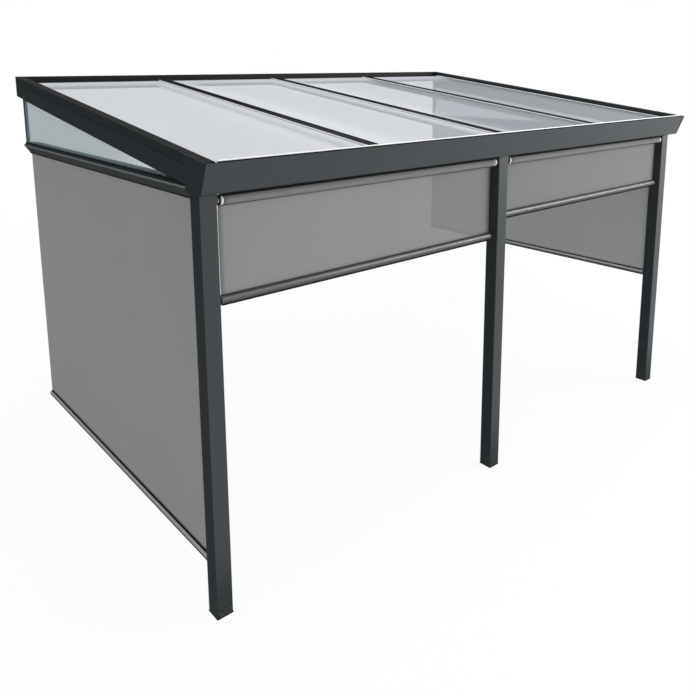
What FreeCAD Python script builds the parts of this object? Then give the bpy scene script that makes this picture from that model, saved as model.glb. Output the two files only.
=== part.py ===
"""Lean-to patio cover: aluminium frame, multiwall roof sheets and four roller blinds.

Millimetres, +Z up, front towards -Y, X along the house wall. Heights in this
source count from the ground, and save() lowers each piece so that the origin
lies on the back face of the wall profile, half way along it, on the anchor line.
The roof's top line runs from the wall down to the gutter's front edge, and
depths below it are measured upright.
"""
import FreeCAD, Part
import math
import os

V = FreeCAD.Vector

# Overall sizes, driving dimensions
roof_width = 4380.0         # outer faces of the side rafters and gutter ends
projection = 2650.0         # wall to the front faces of the posts
post_height = 2170.0        # ground to the underside of the gutter
gutter_height = 150.0       # underside to the top of the gutter's front edge
roof_rise = 360.0           # gutter's front edge to the roof's top line at the wall
bays = 4                    # roof fields between rafters

# Posts and feet
side_inset = 20.0           # post's outer face in from the roof's outer face
post_width = 90.0
post_wall = 3.0
post_corner = 4.0
foot_plate = 8.0
foot_wall = 3.0
foot_fit = 0.3
foot_collar = 60.0
foot_bolt_r = 5.5
foot_bolt_spacing = 52.0

# Gutter
gutter_nose_low = 55.0      # bottom edge ahead of the posts
gutter_nose_high = 115.0    # top edge ahead of the posts
gutter_wall = 3.0
gutter_corner = 14.0        # outer radius of the lower front corner
gutter_lip = 12.0
gutter_ledge = 15.0
gutter_end_plate = 6.0
gutter_end_margin = 2.0     # end plate ahead of the gutter's front face

# Rafters, their caps and the roof sheets
cap_drop = 30.0             # inner caps and sheets lie this far under the side caps
cap_height = 8.0
cap_groove_depth = 2.0
sheet_thickness = 16.0
sheet_skin = 2.0
cell_pitch = 32.0
tee_thickness = 4.0
rafter_width = 60.0
rafter_depth = 30.0         # inner rafters, below the tee
rafter_corner = 3.0
stem_width = 12.0
sheet_side_gap = 4.0
sheet_front_gap = 18.0
roof_end_fit = 0.5          # tees short of the gutter's front wall
section_wall = 3.0
side_rafter_depth = 140.0   # top line to underside
side_cap_skirt = 45.0
side_cap_wall = 3.0
side_cap_corner = 2.0
shadow_groove = 4.0
end_strip_wall = 1.5
end_strip_leg = 25.0

# Wall profile
wall_profile_depth = 25.0
wall_profile_corner = 4.0
wall_flashing = 45.0        # flange that lies on the sheets' upper ends
wall_flashing_thickness = 3.0
wall_shelf = 30.0
anchor_r = 5.5
anchor_drop = 70.0          # anchor line below the top line
anchor_places = (450.0, 1150.0, 1850.0)

# Side rails and the wedges above them
rail_height = 80.0
rail_width = 90.0
rail_wall = 3.0
rail_shoulder = 16.0        # top face in from the outermost line
rail_brow = 22.0            # outermost line below the top face
rail_tuck = 40.0            # bottom face in from the outermost line
rail_round = 8.0
rail_slot = 8.0
side_plane = 47.0           # middle of the side fabric in from the post's outer face
wedge_plane = 28.0          # middle of the wedge in from the post's outer face
wedge_thickness = 16.0
wedge_frame_wall = 2.0
wedge_frame_leg = 25.0
wedge_frame_fit = 0.5

# Roller blinds
fabric_thickness = 1.0
soft_gap = 0.3
front_roller_r = 24.0
front_roller_wall = 2.0
front_roller_drop = 18.0
roller_cap = 10.0
roller_cap_rim = 0.8
roller_pin_r = 6.0
roller_pin_fit = 0.3
bracket_thickness = 5.0
bracket_gap = 20.0
front_roller_set_back = 1.0   # front roller behind the posts' front faces
side_fabric_gap = 20.0      # side fabrics short of the post and the wall
front_fabric_gap = 37.0     # front fabrics short of the posts
front_bar_gap = 25.0
side_roller_r = 17.5
front_bar_r = 22.5
side_bar_r = 17.0
bar_wall = 2.5
bar_cap = 5.0
bar_slot = 2.2
front_left_drop = 530.0     # middle of the bottom bar under the gutter
front_right_drop = 406.0
side_left_clearance = 248.0   # middle of the bottom bar above the ground
side_right_drop = 1164.0    # middle of the bottom bar under the side rail

# Places worked out from the sizes above
gutter_top = post_height + gutter_height
wall_height = gutter_top + roof_rise
half_roof = roof_width / 2
post_outer = half_roof - side_inset
post_front = -projection
post_back = post_front + post_width
gutter_front = post_front - gutter_nose_high
gutter_low_front = post_front - gutter_nose_low
gutter_lean = (gutter_nose_high - gutter_nose_low) / gutter_height
slope = roof_rise / -gutter_front
sheet_drop = cap_drop + cap_height
tee_drop = sheet_drop + sheet_thickness
seat_drop = tee_drop + tee_thickness
origin_height = wall_height - anchor_drop
rafter_pitch = (roof_width - rafter_width) / bays


def roof_top(y):
    """Height of the roof's top line at the distance y from the wall."""
    return gutter_top + slope * (y - gutter_front)


def gutter_face(z):
    """Outer face of the gutter's leaning front at a height."""
    return gutter_low_front - gutter_lean * (z - post_height)


# Ledge in the gutter, at the crossing of the tees' underside and the front wall's inner face
ledge_z = (
    roof_top(gutter_low_front + gutter_wall + gutter_lean * post_height) - seat_drop
) / (1 + slope * gutter_lean)
ledge_front = gutter_face(ledge_z) + gutter_wall
roof_end = ledge_front + roof_end_fit
sheet_end = roof_end + sheet_front_gap
rail_top = roof_top(post_back) - side_rafter_depth
rail_low = rail_top - rail_height


def polygon(points):
    return Part.makePolygon(points + [points[0]])


def along_x(points, x0, x1):
    """Section of (y, z) points drawn out along the wall."""
    face = Part.Face(polygon([V(x0, y, z) for y, z in points]))
    return face.extrude(V(x1 - x0, 0, 0))


def along_y(points, y0, y1):
    """Section of (x, z) points drawn out level, square to the wall."""
    face = Part.Face(polygon([V(x, y0, z) for x, z in points]))
    return face.extrude(V(0, y1 - y0, 0))


def along_slope(points, y0, y1, holes=()):
    """Section of (x, depth) points, with any holes, drawn out down the slope."""
    wires = [polygon([V(x, y0, roof_top(y0) + v) for x, v in loop]) for loop in (points, *holes)]
    face = Part.Face(wires)
    return face.extrude(V(0, y1 - y0, roof_top(y1) - roof_top(y0)))


def rounded(shape, section, places, radius):
    """Round the long edges that stand at the given places of the section."""
    edges = []
    for edge in shape.Edges:
        near, far = [section(vertex.Point) for vertex in (edge.Vertexes[0], edge.Vertexes[-1])]
        at_place = any(math.dist(near, place) < 0.01 for place in places)
        if at_place and math.dist(near, far) < 0.01:
            edges.append(edge)
    return shape.makeFillet(radius, edges)


def section_x(point):
    return point.y, point.z


def section_y(point):
    return point.x, point.z


def section_slope(point):
    return point.x, point.z - roof_top(point.y)


def inset(points, wall):
    """Outline of a closed section drawn in by one wall thickness."""
    count = len(points)
    pairs = [(points[i], points[(i + 1) % count]) for i in range(count)]
    turn = math.copysign(1, sum(ax * by - bx * ay for (ax, ay), (bx, by) in pairs))
    lines = []
    for (ax, ay), (bx, by) in pairs:
        length = math.dist((ax, ay), (bx, by))
        nx, ny = -turn * (by - ay) / length, turn * (bx - ax) / length
        lines.append((nx, ny, nx * ax + ny * ay + wall))
    corners = []
    for i in range(count):
        a, b, c = lines[i - 1]
        d, e, f = lines[i]
        area = a * e - b * d
        corners.append(((c * e - b * f) / area, (a * f - c * d) / area))
    return corners


def box(x0, x1, y0, y1, z0, z1):
    return Part.makeBox(x1 - x0, y1 - y0, z1 - z0, V(x0, y0, z0))


def rectangle(x0, x1, z0, z1):
    return [(x0, z0), (x1, z0), (x1, z1), (x0, z1)]


def mirrored(shape):
    return shape.mirror(V(0, 0, 0), V(1, 0, 0))


def save(name, *solids):
    """Write one node, lowered from the ground to the frame at the wall face."""
    shape = solids[0] if len(solids) == 1 else Part.makeCompound(list(solids))
    shape = shape.copy()
    shape.translate(V(0, 0, -origin_height))
    shape.exportStep(f"parts/{name}.step")


def side_pair(name, shape):
    """Save a piece of the left side, and its mirror image for the right."""
    save(f"{name}_left", shape)
    save(f"{name}_right", mirrored(shape))


def wall_profile():
    """Hollow back web with a flashing on the sheets' upper ends and a shelf under the rafters."""
    x1 = half_roof - rafter_width
    front = -wall_profile_depth
    flashing_end = front - wall_flashing
    shelf_end = front - wall_shelf
    shelf_drop = seat_drop + rafter_depth
    shelf_low = roof_top(front) - shelf_drop - section_wall
    web = [(0, shelf_low), (front, shelf_low), (front, roof_top(front)), (0, wall_height)]
    flashing = [
        (front, roof_top(front) - sheet_drop),
        (flashing_end, roof_top(flashing_end) - sheet_drop),
        (flashing_end, roof_top(flashing_end) - sheet_drop + wall_flashing_thickness),
        (front, roof_top(front) - sheet_drop + wall_flashing_thickness),
    ]
    shelf = [
        (front, roof_top(front) - shelf_drop),
        (shelf_end, roof_top(shelf_end) - shelf_drop),
        (shelf_end, roof_top(shelf_end) - shelf_drop - section_wall),
        (front, shelf_low),
    ]
    body = rounded(along_x(web, -x1, x1), section_x, [web[2]], wall_profile_corner)
    shape = body.fuse([along_x(flashing, -x1, x1), along_x(shelf, -x1, x1)])
    shape = shape.cut(along_x(inset(web, section_wall), -x1, x1))
    for place in anchor_places:
        for x in (-place, place):
            hole = Part.makeCylinder(anchor_r, wall_profile_depth, V(x, 0, origin_height), V(0, -1, 0))
            shape = shape.cut(hole)
    return shape.removeSplitter()


def inner_rafter(x):
    """Box rafter under a tee, whose head runs on over the gutter to its front ledge."""
    half = rafter_width / 2
    low = -seat_drop - rafter_depth
    back = -wall_profile_depth
    outline = rectangle(x - half, x + half, low, -seat_drop)
    body = rounded(along_slope(outline, back, post_back), section_slope, outline[:2], rafter_corner)
    body = body.cut(along_slope(inset(outline, section_wall), back, post_back))
    tee = along_slope(rectangle(x - half, x + half, -seat_drop, -tee_drop), back, roof_end)
    stem = along_slope(rectangle(x - stem_width / 2, x + stem_width / 2, -tee_drop, -sheet_drop), back, roof_end)
    return body.fuse([tee, stem]).removeSplitter()


def inner_cap(x):
    """Snap-on cap with slanted edges and a shallow groove along its middle."""
    half = rafter_width / 2
    groove = rafter_width / 6
    top = -cap_drop
    points = [
        (x - half, -sheet_drop),
        (x + half, -sheet_drop),
        (x + half, top - cap_height / 2),
        (x + half - groove, top),
        (x + groove / 2, top),
        (x + groove / 2, top - cap_groove_depth),
        (x - groove / 2, top - cap_groove_depth),
        (x - groove / 2, top),
        (x - half + groove, top),
        (x - half, top - cap_height / 2),
    ]
    return along_slope(points, -wall_profile_depth - wall_flashing, roof_end)


def side_rafter():
    """Deep edge rafter of the left side, with the upstand that carries the side cap."""
    x = -half_roof
    w = section_wall
    inner = x + rafter_width
    upstand = x + side_cap_wall + stem_width
    skirt_end = -side_cap_skirt - shadow_groove
    points = [
        (x, -side_rafter_depth),
        (inner, -side_rafter_depth),
        (inner, -tee_drop),
        (upstand, -tee_drop),
        (upstand, -side_cap_wall),
        (x + side_cap_wall, -side_cap_wall),
        (x + side_cap_wall, skirt_end),
        (x, skirt_end),
    ]
    body = rounded(along_slope(points, 0, post_back), section_slope, points[:2], rafter_corner)
    cavity = rectangle(x + side_cap_wall + w, inner - w, -side_rafter_depth + w, -seat_drop)
    body = body.cut(along_slope(cavity, 0, post_back))
    over_gutter = [
        (x + gutter_end_plate, -seat_drop),
        (inner, -seat_drop),
        (inner, -tee_drop),
        (upstand, -tee_drop),
        (upstand, -side_cap_wall),
        (x + gutter_end_plate, -side_cap_wall),
    ]
    return body.fuse(along_slope(over_gutter, post_back, roof_end)).removeSplitter()


def side_cap():
    """Cap of the left side rafter: a long skirt outside, a short one standing on the sheet."""
    x = -half_roof
    w = side_cap_wall
    inner = x + rafter_width
    points = [
        (x, 0),
        (x, -side_cap_skirt),
        (x + w, -side_cap_skirt),
        (x + w, -w),
        (inner - w, -w),
        (inner - w, -sheet_drop),
        (inner, -sheet_drop),
        (inner, 0),
    ]
    cap = rounded(along_slope(points, 0, post_back), section_slope, [points[0], points[-1]], side_cap_corner)
    over_gutter = [(x + gutter_end_plate, 0), (x + gutter_end_plate, -w), *points[4:]]
    front = rounded(along_slope(over_gutter, post_back, roof_end), section_slope, [points[-1]], side_cap_corner)
    return cap.fuse(front).removeSplitter()


def roof_sheet(index):
    """Left and right edge of the sheet between two rafters."""
    x0 = -half_roof + rafter_width / 2 + index * rafter_pitch
    x1 = x0 + rafter_pitch
    left = x0 + stem_width / 2 + sheet_side_gap
    right = x1 - stem_width / 2 - sheet_side_gap
    if index == 0:
        left = -half_roof + side_cap_wall + stem_width + sheet_side_gap
    if index == bays - 1:
        right = half_roof - side_cap_wall - stem_width - sheet_side_gap
    return left, right


def roof_panel(index):
    """Multiwall sheet, its cells running down the slope from the wall to the gutter."""
    left, right = roof_sheet(index)
    cells = int((right - left - sheet_skin) // cell_pitch)
    first = (left + right - cells * cell_pitch + sheet_skin) / 2
    floor, ceiling = -tee_drop + sheet_skin, -sheet_drop - sheet_skin
    holes = []
    for cell in range(cells):
        x = first + cell * cell_pitch
        holes.append(rectangle(x, x + cell_pitch - sheet_skin, floor, ceiling))
    return along_slope(rectangle(left, right, -tee_drop, -sheet_drop), -wall_profile_depth, sheet_end, holes)


def end_strip(index):
    """Channel on the front edge of one roof sheet, between the caps."""
    x0 = -half_roof + index * rafter_pitch + rafter_width + soft_gap
    x1 = x0 + rafter_pitch - rafter_width - 2 * soft_gap
    w = end_strip_wall
    back = sheet_end + end_strip_leg
    outline = [
        (sheet_end - w, sheet_drop - w),
        (back, sheet_drop - w),
        (back, sheet_drop),
        (sheet_end, sheet_drop),
        (sheet_end, tee_drop),
        (back, tee_drop),
        (back, tee_drop + w),
        (sheet_end - w, tee_drop + w),
    ]
    return along_x([(y, roof_top(y) - drop) for y, drop in outline], x0, x1)


def gutter():
    """Open trough with an outward leaning front, a folded lip and a ledge for the tees."""
    w = gutter_wall
    x1 = half_roof - gutter_end_plate
    low_inside = (gutter_face(post_height + w) + w, post_height + w)
    outline = [
        (post_back, post_height),
        (gutter_low_front, post_height),
        (gutter_front, gutter_top),
        (gutter_front + gutter_lip, gutter_top),
        (gutter_front + gutter_lip, gutter_top - w),
        (gutter_face(gutter_top - w) + w, gutter_top - w),
        (ledge_front, ledge_z),
        (ledge_front + gutter_ledge, ledge_z + slope * gutter_ledge),
        (ledge_front + gutter_ledge, ledge_z - w),
        (gutter_face(ledge_z - w) + w, ledge_z - w),
        low_inside,
        (post_back - w, post_height + w),
        (post_back - w, roof_top(post_back - w) - seat_drop),
        (post_back, roof_top(post_back) - seat_drop),
    ]
    trough = along_x(outline, -x1, x1)
    trough = rounded(trough, section_x, [outline[1]], gutter_corner)
    return rounded(trough, section_x, [low_inside], gutter_corner - w)


def gutter_end():
    """Left end plate: closes the trough and carries on the side rafter's face to the front edge."""
    x0 = -half_roof
    margin = gutter_end_margin
    outline = [
        (post_back, post_height),
        (gutter_low_front - margin, post_height),
        (gutter_front - margin, roof_top(gutter_front - margin)),
        (post_back, roof_top(post_back)),
    ]
    plate = along_x(outline, x0, x0 + gutter_end_plate)
    return rounded(plate, section_x, [outline[1]], gutter_corner + margin)


def post(x):
    """Square hollow post standing on its foot, centred on x."""
    half = post_width / 2
    outline = [(x - half, post_front), (x + half, post_front), (x + half, post_back), (x - half, post_back)]
    hollow = inset(outline, post_wall)
    tube = Part.Face(polygon([V(a, b, 0) for a, b in outline])).extrude(V(0, 0, post_height))
    tube = rounded(tube, lambda point: (point.x, point.y), outline, post_corner)
    return tube.cut(Part.Face(polygon([V(a, b, 0) for a, b in hollow])).extrude(V(0, 0, post_height)))


def post_foot(x):
    """Bolt-down foot inside the post: plate with four holes and a collar."""
    half = post_width / 2 - post_wall - foot_fit
    yc = (post_front + post_back) / 2
    inner = half - foot_wall
    foot = box(x - half, x + half, yc - half, yc + half, 0, foot_collar)
    foot = foot.cut(box(x - inner, x + inner, yc - inner, yc + inner, foot_plate, foot_collar))
    for dx in (-1, 1):
        for dy in (-1, 1):
            at = V(x + dx * foot_bolt_spacing / 2, yc + dy * foot_bolt_spacing / 2, 0)
            foot = foot.cut(Part.makeCylinder(foot_bolt_r, foot_plate, at))
    return foot


def side_rail():
    """Left roller housing between post and wall, its outer side drawn in above and below."""
    x = -post_outer
    points = [
        (x + rail_shoulder, rail_top),
        (x, rail_top - rail_brow),
        (x + rail_tuck, rail_low),
        (x + rail_width, rail_low),
        (x + rail_width, rail_top),
    ]
    hollow = inset(points, rail_wall)
    housing = rounded(along_y(points, post_back, 0), section_y, points[1:3], rail_round)
    cavity = rounded(along_y(hollow, post_back, 0), section_y, hollow[1:3], rail_round - rail_wall)
    plane = x + side_plane
    slot = rectangle(plane - rail_slot / 2, plane + rail_slot / 2, rail_low, rail_low + rail_wall)
    return housing.cut([cavity, along_y(slot, post_back, 0)])


def side_roller():
    """Roller inside the left rail, its outer side over the slot."""
    x = -post_outer + side_plane + fabric_thickness / 2 + soft_gap + side_roller_r
    z = (rail_top + rail_low) / 2
    length = -post_back - 2 * soft_gap
    return Part.makeCylinder(side_roller_r, length, V(x, -soft_gap, z), V(0, -1, 0))


def side_fabric(bar_height):
    x = -post_outer + side_plane
    t = fabric_thickness / 2
    low = bar_height + side_bar_r - bar_wall - soft_gap
    top = (rail_top + rail_low) / 2
    return box(x - t, x + t, post_back + side_fabric_gap, -side_fabric_gap, low, top)


def hem_bar(radius, length):
    """Round hollow bar along X from the origin, with closed ends and a slot on top for the hem."""
    bar = Part.makeCylinder(radius, length, V(0, 0, 0), V(1, 0, 0))
    inner = Part.makeCylinder(radius - bar_wall, length - 2 * bar_cap, V(bar_cap, 0, 0), V(1, 0, 0))
    slot = box(bar_cap, length - bar_cap, -bar_slot / 2, bar_slot / 2, 0, radius)
    return bar.cut([inner, slot])


def side_bar(bar_height):
    gap = side_fabric_gap / 2
    bar = hem_bar(side_bar_r, -post_back - 2 * gap)
    bar.rotate(V(0, 0, 0), V(0, 0, 1), -90)
    bar.translate(V(-post_outer + side_plane, -gap, bar_height))
    return bar


def wedge_frame():
    """Channel under the left side rafter and down the wall that holds the wedge sheet."""
    x = -post_outer + wedge_plane
    inner = wedge_thickness / 2 + wedge_frame_fit
    half = inner + wedge_frame_wall
    w = wedge_frame_wall
    leg = wedge_frame_leg

    def triangle(from_wall, below):
        """Corner points under the side rafter, at a distance from the wall and from its underside."""
        high = roof_top(-from_wall) - side_rafter_depth - below
        return [(-from_wall, rail_top), (post_back + below / slope, rail_top), (-from_wall, high)]

    frame = along_x(triangle(0, 0), x - half, x + half)
    opening = along_x(triangle(leg, leg), x - half, x + half)
    return frame.cut([opening, along_x(triangle(w, w), x - inner, x + inner)])


def wedge_sheet():
    """Triangular sheet between the left side rafter and its rail."""
    x = -post_outer + wedge_plane
    gap = wedge_frame_wall + wedge_frame_fit
    high = roof_top(-gap) - side_rafter_depth - gap
    outline = [(-gap, rail_top), (post_back + gap / slope, rail_top), (-gap, high)]
    return along_x(outline, x - wedge_thickness / 2, x + wedge_thickness / 2)


def bay_ends(side):
    """Clear width between the posts of the left (-1) or right (1) front bay."""
    near = post_width / 2
    far = post_outer - post_width
    return (-far, -near) if side < 0 else (near, far)


def roller_centre():
    y = post_front + front_roller_set_back + front_roller_r
    z = post_height - front_roller_drop - front_roller_r
    return y, z


def front_roller(side):
    """Roller tube with a cap at each end, bored for the bracket's pin."""
    x0, x1 = bay_ends(side)
    y, z = roller_centre()
    gap = bracket_thickness + bracket_gap
    x0, x1 = x0 + gap, x1 - gap
    tube = Part.makeCylinder(front_roller_r, x1 - x0, V(x0, y, z), V(1, 0, 0))
    rim = front_roller_r + roller_cap_rim
    caps = [Part.makeCylinder(rim, roller_cap, V(x, y, z), V(1, 0, 0)) for x in (x0, x1 - roller_cap)]
    bore = Part.makeCylinder(roller_pin_r + roller_pin_fit, x1 - x0, V(x0, y, z), V(1, 0, 0))
    inner_r = front_roller_r - front_roller_wall
    inner = Part.makeCylinder(inner_r, x1 - x0 - 2 * roller_cap, V(x0 + roller_cap, y, z), V(1, 0, 0))
    return tube.fuse(caps).cut([bore, inner]).removeSplitter()


def roller_brackets(side):
    """Two plates on the posts, rounded below, each with a pin into the roller's end."""
    x0, x1 = bay_ends(side)
    y, z = roller_centre()
    plates = []
    for x, inward in ((x0, 1), (x1, -1)):
        axis = V(inward, 0, 0)
        disc = Part.makeCylinder(front_roller_r, bracket_thickness, V(x, y, z), axis)
        near, far = sorted((x, x + inward * bracket_thickness))
        plate = box(near, far, y - front_roller_r, y + front_roller_r, z, post_height)
        pin = Part.makeCylinder(roller_pin_r, bracket_thickness + bracket_gap + roller_cap, V(x, y, z), axis)
        plates.append(disc.fuse([plate, pin]).removeSplitter())
    return plates


def front_plane():
    """Middle of the front fabrics, which hang from the back of their rollers."""
    y, _ = roller_centre()
    return y + front_roller_r + soft_gap + fabric_thickness / 2


def front_fabric(side, bar_height):
    x0, x1 = bay_ends(side)
    _, top = roller_centre()
    y = front_plane()
    t = fabric_thickness / 2
    low = bar_height + front_bar_r - bar_wall - soft_gap
    return box(x0 + front_fabric_gap, x1 - front_fabric_gap, y - t, y + t, low, top)


def front_bar(side, bar_height):
    x0, x1 = bay_ends(side)
    bar = hem_bar(front_bar_r, x1 - x0 - 2 * front_bar_gap)
    bar.translate(V(x0 + front_bar_gap, front_plane(), bar_height))
    return bar


os.makedirs("parts", exist_ok=True)

save("wall_profile", wall_profile())
side_pair("side_rafter", side_rafter())
side_pair("side_cap", side_cap())
for place, name in enumerate(("left", "middle", "right")):
    x = -half_roof + rafter_width / 2 + (place + 1) * rafter_pitch
    save(f"rafter_{name}", inner_rafter(x))
    save(f"rafter_cap_{name}", inner_cap(x))
for index in range(bays):
    save(f"roof_panel_{index + 1}", roof_panel(index))
save("panel_end_strips", *[end_strip(index) for index in range(bays)])
save("gutter", gutter())
side_pair("gutter_end", gutter_end())
for name, x in (
    ("left", -post_outer + post_width / 2),
    ("middle", 0),
    ("right", post_outer - post_width / 2),
):
    save(f"post_{name}", post(x))
    save(f"post_foot_{name}", post_foot(x))
side_pair("side_rail", side_rail())
side_pair("side_roller", side_roller())
side_pair("wedge_frame", wedge_frame())
side_pair("wedge_panel", wedge_sheet())
side_right_bar = rail_low - side_right_drop
save("side_fabric_left", side_fabric(side_left_clearance))
save("side_fabric_right", mirrored(side_fabric(side_right_bar)))
save("side_bar_left", side_bar(side_left_clearance))
save("side_bar_right", mirrored(side_bar(side_right_bar)))
for name, side, drop in (("left", -1, front_left_drop), ("right", 1, front_right_drop)):
    bar_height = post_height - drop
    save(f"front_roller_{name}", front_roller(side))
    save(f"roller_brackets_{name}", *roller_brackets(side))
    save(f"front_fabric_{name}", front_fabric(side, bar_height))
    save(f"front_bar_{name}", front_bar(side, bar_height))
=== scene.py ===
"""Looks of the lean-to patio cover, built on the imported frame.

Metres, in the row frame: the origin is on the wall face, on the anchor line, +Z up, front towards -Y.
"""
import bpy
import math
from mathutils import Matrix, Vector, noise


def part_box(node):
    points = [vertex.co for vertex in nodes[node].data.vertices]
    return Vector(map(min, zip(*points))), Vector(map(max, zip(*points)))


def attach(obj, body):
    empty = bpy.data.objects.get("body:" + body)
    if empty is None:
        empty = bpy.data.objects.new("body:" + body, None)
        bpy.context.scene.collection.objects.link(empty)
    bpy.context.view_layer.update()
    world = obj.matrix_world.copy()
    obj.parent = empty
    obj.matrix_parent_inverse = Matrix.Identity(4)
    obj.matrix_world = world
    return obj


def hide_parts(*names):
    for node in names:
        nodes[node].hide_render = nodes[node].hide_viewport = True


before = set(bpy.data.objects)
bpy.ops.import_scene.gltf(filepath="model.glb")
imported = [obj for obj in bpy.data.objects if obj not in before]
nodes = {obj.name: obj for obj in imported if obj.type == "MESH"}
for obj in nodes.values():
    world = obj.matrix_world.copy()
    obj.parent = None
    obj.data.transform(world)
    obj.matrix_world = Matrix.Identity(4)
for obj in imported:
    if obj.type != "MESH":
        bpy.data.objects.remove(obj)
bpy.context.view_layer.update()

# Sizes of the cover that the pieces below follow
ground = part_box("post_left")[0].z
post_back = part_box("post_left")[1].y
half_roof = 2.190
roof_top_at_wall = 0.070
roof_rise = 0.360
roof_reach = 2.765
roof_slope = roof_rise / roof_reach
bay_width = 1.08
cap_width = 0.060
sheet_drop = 0.038
sheet_thickness = 0.016
cell_pitch = 0.032
hands = ("left", "right")
post_names = ("post_left", "post_middle", "post_right")
rafter_names = ("rafter_left", "rafter_middle", "rafter_right")
cap_names = ("rafter_cap_left", "rafter_cap_middle", "rafter_cap_right")


def roof_top(y):
    """Height of the roof's top line at the distance y from the wall."""
    return roof_top_at_wall + roof_slope * y


class Board:
    """A node tree with short ways to place and join its nodes."""

    def __init__(self, tree):
        self.tree = tree

    def feed(self, socket, value):
        if isinstance(value, bpy.types.NodeSocket):
            self.tree.links.new(value, socket)
        else:
            socket.default_value = value

    def node(self, kind, inputs=None, **settings):
        made = self.tree.nodes.new(kind)
        for key, value in settings.items():
            setattr(made, key, value)
        for key, value in (inputs or {}).items():
            self.feed(made.inputs[key], value)
        return made

    def calc(self, operation, *terms, clamp=False):
        made = self.node("ShaderNodeMath", operation=operation, use_clamp=clamp)
        for index, term in enumerate(terms):
            self.feed(made.inputs[index], term)
        return made.outputs[0]

    def plus(self, first, second, clamp=False):
        return self.calc("ADD", first, second, clamp=clamp)

    def minus(self, first, second):
        return self.calc("SUBTRACT", first, second)

    def times(self, first, second):
        return self.calc("MULTIPLY", first, second)

    def stretched(self, place, factors):
        return self.node("ShaderNodeVectorMath", {0: place, 1: factors}, operation="MULTIPLY").outputs[0]

    def spread(self, value, low, high, to_low=0.0, to_high=1.0):
        """A smooth step from low to high, which may run downwards."""
        made = self.node("ShaderNodeMapRange", {0: value, 1: low, 2: high, 3: to_low, 4: to_high})
        made.interpolation_type = "SMOOTHSTEP"
        return made.outputs[0]

    def blend(self, factor, first, second):
        return self.node("ShaderNodeMix", {0: factor, 6: first, 7: second}, data_type="RGBA").outputs[2]

    def toned(self, colour, value):
        return self.node("ShaderNodeHueSaturation", {"Value": value, "Color": colour}).outputs[0]

    def noise(self, place, scale, detail=2.0, roughness=0.5):
        made = self.node("ShaderNodeTexNoise", {"Vector": place, "Scale": scale, "Detail": detail})
        made.inputs["Roughness"].default_value = roughness
        return made.outputs[0]

    def parts(self, place):
        return self.node("ShaderNodeSeparateXYZ", {0: place}).outputs

    def from_middle(self, along, pitch, phase):
        """Distance to the middle of the pitch that a point lies in; the phase places the middles."""
        turn = self.calc("FRACT", self.plus(self.calc("DIVIDE", along, pitch), phase))
        return self.times(self.calc("ABSOLUTE", self.minus(turn, 0.5)), pitch)


SOCKETS = {"value": "NodeSocketFloat", "colour": "NodeSocketColor", "vector": "NodeSocketVector",
           "geometry": "NodeSocketGeometry", "count": "NodeSocketInt", "finish": "NodeSocketMaterial",
           "object": "NodeSocketObject"}


def new_group(name, kind, inputs, outputs):
    """A node group with its named sockets, as (board, input sockets, output node)."""
    tree = bpy.data.node_groups.new(name, kind)
    for label, sort, *default in inputs:
        socket = tree.interface.new_socket(label, in_out="INPUT", socket_type=SOCKETS[sort])
        if default:
            socket.default_value = default[0]
    for label, sort in outputs:
        tree.interface.new_socket(label, in_out="OUTPUT", socket_type=SOCKETS[sort])
    board = Board(tree)
    given = board.node("NodeGroupInput").outputs
    result = board.node("NodeGroupOutput").inputs
    return board, given, result


splash_height = 0.32


def powder_skin_group():
    """Powder coat: fine structure, slow colour drift, dust on what faces up and splashes near the ground."""
    b, given, result = new_group(
        "powder_skin", "ShaderNodeTree",
        [("Place", "vector"), ("Colour", "colour"), ("Dust colour", "colour"), ("Dust", "value", 0.3),
         ("Matt", "value", 0.4), ("Ground", "value", -2.6)],
        [("Colour", "colour"), ("Roughness", "value"), ("Height", "value")])
    place = given["Place"]
    drift = b.noise(place, 2.6, 3.0, 0.55)
    speckle = b.noise(place, 620.0, 1.0)
    shade = b.plus(b.times(drift, 0.16), b.times(speckle, 0.12))
    coat = b.toned(given["Colour"], b.plus(shade, 0.86))
    facing = b.parts(b.node("ShaderNodeNewGeometry").outputs["Normal"])[2]
    up = b.spread(facing, 0.45, 0.98)
    patches = b.spread(b.noise(place, 11.0, 6.0, 0.68), 0.38, 0.72)
    low = b.spread(b.parts(place)[2], b.plus(given["Ground"], splash_height), given["Ground"])
    splash_spots = b.spread(b.noise(place, 90.0, 4.0, 0.6), 0.42, 0.66)
    splash = b.times(b.calc("POWER", low, 2.0), splash_spots)
    runs_place = b.stretched(place, (46.0, 46.0, 1.7))
    runs = b.spread(b.noise(runs_place, 1.0, 3.0, 0.6), 0.52, 0.78)
    veil = b.times(b.times(up, b.plus(b.times(patches, 0.7), 0.3)), given["Dust"])
    veil = b.plus(veil, b.times(splash, 0.16))
    veil = b.plus(veil, b.times(runs, b.times(given["Dust"], 0.06)), clamp=True)
    b.feed(result["Colour"], b.blend(veil, coat, given["Dust colour"]))
    matt = b.plus(given["Matt"], b.times(veil, 0.35))
    b.feed(result["Roughness"], b.plus(matt, b.times(b.minus(runs, 0.3), 0.05), clamp=True))
    orange_peel = b.times(b.noise(place, 160.0, 2.0), 0.6)
    b.feed(result["Height"], b.plus(b.noise(place, 780.0, 2.0), orange_peel))
    return b.tree


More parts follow.
